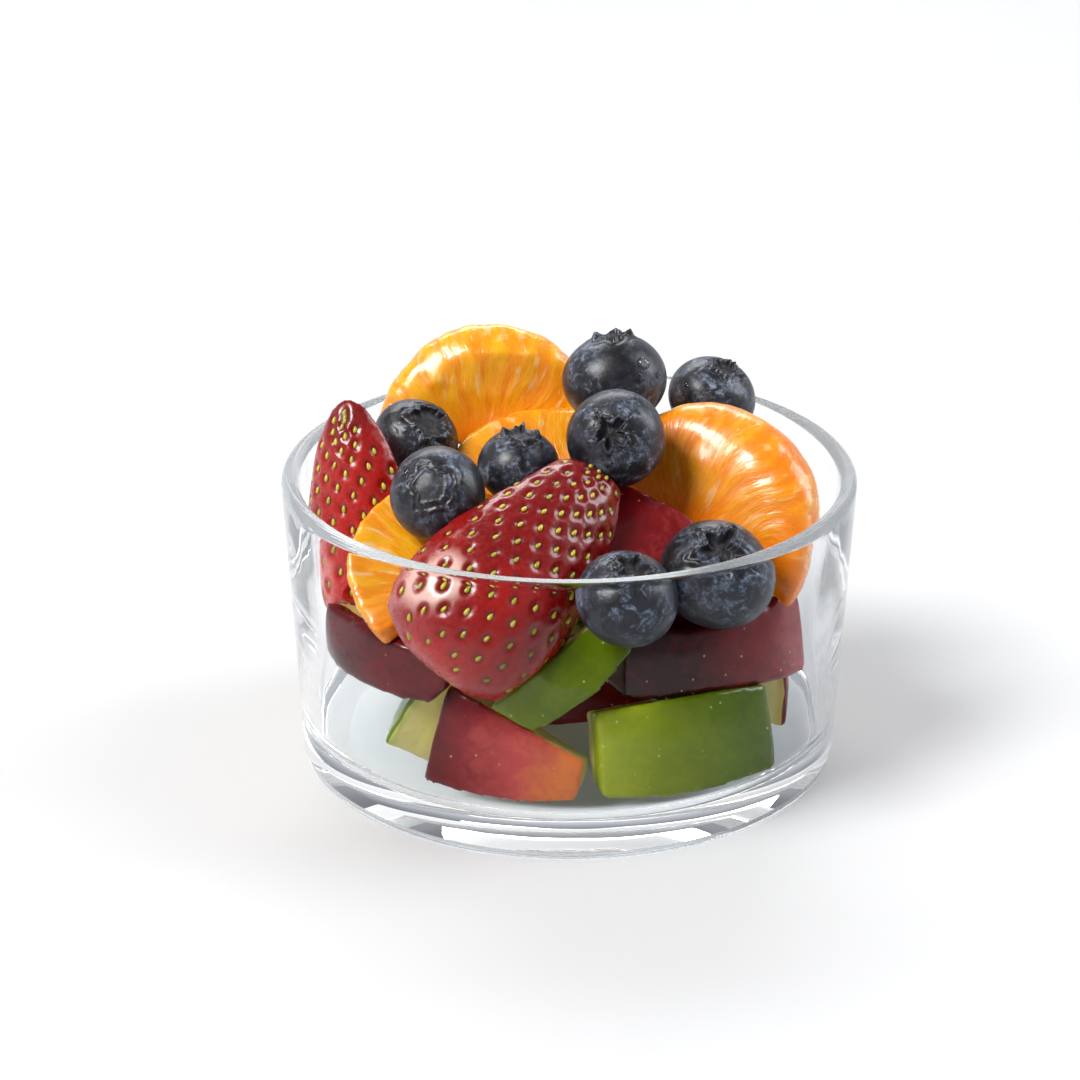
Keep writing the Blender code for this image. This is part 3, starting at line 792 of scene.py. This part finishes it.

# wrap is how far the skin goes round the edge, in millimetres; the tone runs from one end of the chunk to the other, 0
# the darkest tone and 1 the lightest, partly the apple's own blush and partly painted shade and painted sheen
apples = {
    "apple_red_left": dict(faces=(-0.65, -0.72, 0.0), along=(0.75, -0.6, -0.05), blushAndPaintedLight=(0.1, 0.2), wrap=1.5),
    "apple_green_left": dict(faces=(-0.75, 0.1, 0.5), along=(0.35, -0.1, 0.9), blushAndPaintedLight=(0.4, 0.5)),
    "apple_red_front": dict(faces=(-0.2, -0.97, 0.1), along=(0.95, -0.15, -0.22), blushAndPaintedLight=(0.15, 1.1)),
    "apple_green_front": dict(faces=(0.0, -1.0, 0.1), along=(0.8, 0.1, 0.6), blushAndPaintedLight=(0.5, 0.2)),
    "apple_green_right": dict(faces=(0.3, -0.94, 0.14), along=(0.94, 0.3, 0.05), blushAndPaintedLight=(0.9, 0.1), wrap=2.5),
    "apple_red_right": dict(faces=(0.5, -0.83, 0.25), along=(0.84, 0.5, -0.08), blushAndPaintedLight=(-0.1, 0.5), wrap=5.0),
    "apple_red_middle": dict(faces=(0.1, -0.68, 0.72), along=(0.7, -0.3, -0.4), blushAndPaintedLight=(0.2, 0.5)),
    "apple_red_right_low": dict(faces=(1.0, 0.0, 0.0), along=(0.0, 1.0, 0.0), blushAndPaintedLight=(0.3, 0.6)),
    "apple_red_middle_low": dict(faces=(0.1, -0.8, 0.6), along=(1.0, 0.0, 0.1), blushAndPaintedLight=(0.2, 0.4)),
    "apple_green_rear": dict(faces=(-0.1, 1.0, 0.1), along=(1.0, 0.1, 0.0), blushAndPaintedLight=(0.3, 0.8)),
    "apple_red_rear_left": dict(faces=(-0.8, 0.6, 0.1), along=(0.6, 0.8, 0.1), blushAndPaintedLight=(0.1, 0.8)),
    "apple_green_rear_right": dict(faces=(0.75, 0.65, 0.1), along=(-0.65, 0.75, 0.0), blushAndPaintedLight=(0.7, 0.3)),
    "apple_green_low": dict(faces=(0.2, 0.1, 1.0), along=(1.0, 0.2, 0.0), blushAndPaintedLight=(0.5, 0.5)),
    "apple_red_core": dict(faces=(0.2, 0.2, 1.0), along=(0.9, -0.4, 0.0), blushAndPaintedLight=(0.3, 0.5)),
    "apple_green_side": dict(faces=(-0.95, 0.25, 0.1), along=(0.25, 0.95, 0.1), blushAndPaintedLight=(0.3, 0.9)),
    "apple_red_side": dict(faces=(0.95, 0.15, 0.1), along=(-0.15, 0.95, 0.1), blushAndPaintedLight=(0.7, 0.1)),
    "apple_red_rear": dict(faces=(0.2, 0.9, 0.4), along=(0.9, -0.1, 0.0), blushAndPaintedLight=(0.1, 0.7)),
    "apple_green_high": dict(faces=(0.1, -0.3, 1.0), along=(0.9, 0.3, 0.0), blushAndPaintedLight=(0.4, 0.6)),
    "apple_green_core": dict(faces=(0.2, 0.1, 1.0), along=(0.5, 0.9, 0.0), blushAndPaintedLight=(0.4, 0.6)),
    "apple_red_back": dict(faces=(0.0, 0.4, 1.0), along=(1.0, 0.0, 0.1), blushAndPaintedLight=(0.4, 0.3)),
    "apple_red_deep": dict(faces=(-0.1, -0.3, 1.0), along=(0.8, 0.3, 0.0), blushAndPaintedLight=(0.4, 0.3)),
    "apple_red_low": dict(faces=(0.1, 0.1, 1.0), along=(0.7, 0.7, 0.0), blushAndPaintedLight=(0.4, 0.3)),
}

appleTones = {
    "red": [rgb(48, 6, 6), rgb(122, 20, 24), rgb(196, 74, 70), rgb(230, 124, 60)],
    "green": [rgb(66, 82, 4), rgb(96, 116, 8), rgb(130, 144, 18), rgb(164, 172, 40)],
    "redDot": rgb(222, 150, 120),
    "greenDot": rgb(206, 214, 140),
    "flesh": [rgb(240, 230, 164), rgb(222, 206, 122)],
    "underSkin": {"red": rgb(206, 170, 70), "green": rgb(186, 200, 96)},
}


def appleMaterial(kind):
    material, tree, shader = newMaterial(kind + "Apple")
    # the tone along the chunk: partly the apple's own blush, partly painted shade and painted sheen
    blushAndPaintedLight = attribute(tree, "blushAndPaintedLight")
    streak = grain(tree, 2.2, 5.0, 0.6, distortion=0.8)
    shade = maths(tree, "ADD", blushAndPaintedLight, softStep(tree, streak, 0.3, 0.7, -0.06, 0.06))
    ramp = addNode(tree, "ValToRGB", {"Fac": shade})
    stops = ramp.color_ramp.elements
    tones = appleTones[kind]
    stops[0].position, stops[0].color = 0.0, tones[0]
    stops[1].position, stops[1].color = 1.0, tones[3]
    for place, tone in ((0.35, tones[1]), (0.7, tones[2])):
        stops.new(place).color = tone
    place = addNode(tree, "NewGeometry").outputs["Position"]
    dots = addNode(tree, "TexVoronoi", {"Vector": place, "Scale": 1 / (2.4 * mm)}).outputs["Distance"]
    dot = softStep(tree, dots, 0.05, 0.10, 0.75, 0.0)
    skin = mixColour(tree, dot, ramp.outputs[0], appleTones[kind + "Dot"])
    flesh = mixColour(tree, grain(tree, 2.5, 5.0, 0.65), *appleTones["flesh"])
    rind = attribute(tree, "rind")
    edge = softStep(tree, rind, -1.6, -0.1, 0.0, 0.75)
    flesh = mixColour(tree, edge, flesh, appleTones["underSkin"][kind])
    share = softStep(tree, rind, -0.16, 0.06)
    colour = mixColour(tree, share, flesh, skin)
    rough = mixColour(tree, share, (0.42, 0.42, 0.42, 1.0), (0.2, 0.2, 0.2, 1.0))
    height = maths(tree, "MULTIPLY", grain(tree, 0.8, 4.0, 0.65), softStep(tree, share, 0.0, 1.0, 1.0, 0.12))
    finishShader(tree, shader, {
        "Base Color": colour,
        "Roughness": rough,
        "Subsurface Weight": 0.12,
        "Subsurface Radius": (1.0, 0.6, 0.3),
        "Subsurface Scale": 1.0 * mm,
        "Specular IOR Level": 0.3,
        "Coat Weight": 0.12,
        "Coat Roughness": 0.1,
        "Normal": bumpFrom(tree, height, 0.1, 0.6),
    })
    return material


def addApple(name, look, material):
    axes = pieceAxes(look["faces"], look["along"])
    obj = fineCopy(name, axes, appleForm["voxel"], 32, 4, 0.12)
    mesh = obj.data
    points = coordinates(mesh)
    normals = vertexNormals(mesh)
    seed = 3.0 * list(apples).index(name)
    # skin and cut faces of the CAD solid, each as a search tree in the chunk's own axes
    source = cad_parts[name].data
    corners = [obj.matrix_world.inverted() @ v.co for v in source.vertices]
    skinFaces, cutFaces = [], []
    for face in source.polygons:
        facing = axes.transposed() @ face.normal
        (skinFaces if facing.z > appleForm["skinFacing"] else cutFaces).append(list(face.vertices))
    skinTree = BVHTree.FromPolygons(corners, skinFaces) if skinFaces else None
    cutTree = BVHTree.FromPolygons(corners, cutFaces)
    rind = []
    for p in points:
        spot = Vector(p) * mm
        toSkin = skinTree.find_nearest(spot)[3] if skinTree else 1.0
        toCut = cutTree.find_nearest(spot)[3]
        rind.append(max(-3.0, min(3.0, (toCut - toSkin) / mm + look.get("wrap", 0.2))))
    setAttribute(mesh, "rind", rind)
    fleshShare = 1 - smooth01(np.array(rind), -0.6, 0.0)
    height = 0.14 * noiseAt(points, 6.0, seed) + 0.1 * fleshShare * noiseAt(points, 1.6, seed)
    setCoordinates(mesh, points + normals * height[:, None])
    # tone along the chunk, partly the apple's own blush and partly painted shade and painted sheen
    start, end = look["blushAndPaintedLight"]
    run = (points[:, 0] - points[:, 0].min()) / np.ptp(points[:, 0])
    blushAndPaintedLight = start + (end - start) * run + 0.10 * noiseAt(points, 7.0, seed + 1)
    setAttribute(mesh, "blushAndPaintedLight", np.clip(blushAndPaintedLight, 0, 1))
    dress(obj, material, "apple_red" if "red" in name else "apple_green", name)


addStage()
addCup()
berrySkin = berryMaterial()
for name, look in berries.items():
    addBerry(name, look, berrySkin)
print(len(berries), "blueberries made")
addDrops()
segmentFlesh = segmentMaterial()
for name, look in segments.items():
    addSegment(name, look, segmentFlesh)
strawberrySkin = strawberryMaterial()
strawberrySeed = seedMaterial()
for name, look in strawberries.items():
    addStrawberry(name, look, strawberrySkin, strawberrySeed)
appleSkins = {"red": appleMaterial("red"), "green": appleMaterial("green")}
for name, look in apples.items():
    addApple(name, look, appleSkins["red" if "red" in name else "green"])
print(len(apples), "apple chunks made")
